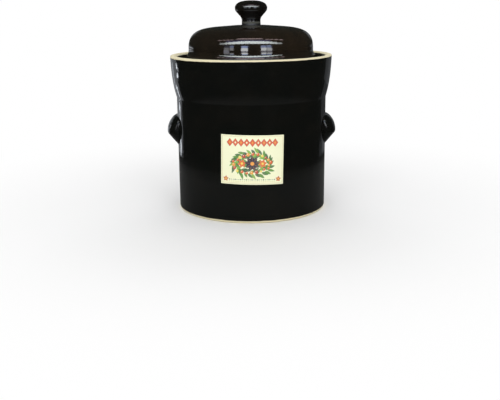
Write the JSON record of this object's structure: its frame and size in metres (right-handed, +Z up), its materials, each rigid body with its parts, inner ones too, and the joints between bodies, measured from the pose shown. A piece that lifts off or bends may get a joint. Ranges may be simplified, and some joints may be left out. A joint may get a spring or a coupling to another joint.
{
  "type": "fermentation crock",
  "caption": "Straight-sided stoneware fermentation crock with a water-seal channel, domed lid with a turned knob, lug handles, a paper label and half-moon weight stones.",
  "frame": {"origin": "centre of the foot ring's underside, on the crock's axis", "axes": "+Z up along the crock's axis, -Y towards the front with the label, +X and -X towards the handles"},
  "size_m": [0.2976, 0.2806, 0.3611],
  "materials": {
    "body_glaze": "glossy near-black brown glaze",
    "lid_glaze": "glossy dark brown glaze",
    "label_paper": "semi-matte printed paper",
    "raw_stoneware": "matte unglazed fired clay"
  },
  "bodies": {
    "crock": {"crock_vessel": "body_glaze", "water_collar": "body_glaze", "channel_floor": "body_glaze", "neck_ring": "body_glaze", "handle_left": "body_glaze", "handle_right": "body_glaze", "label": "label_paper"},
    "lid": {"lid_shell": "lid_glaze", "lid_knob": "lid_glaze"},
    "weight_left": {"weight_stone_left": "raw_stoneware"},
    "weight_right": {"weight_stone_right": "raw_stoneware"}
  },
  "joints": [
    {"name": "lid_lift", "type": "slide", "parent": "crock", "child": "lid", "axis": [0, 0, 1], "range_m": [0, 0.15]},
    {"name": "weight_left_lift", "type": "slide", "parent": "crock", "child": "weight_left", "axis": [0, 0, 1], "range_m": [0, 0.26]},
    {"name": "weight_right_lift", "type": "slide", "parent": "crock", "child": "weight_right", "axis": [0, 0, 1], "range_m": [0, 0.26]}
  ]
}
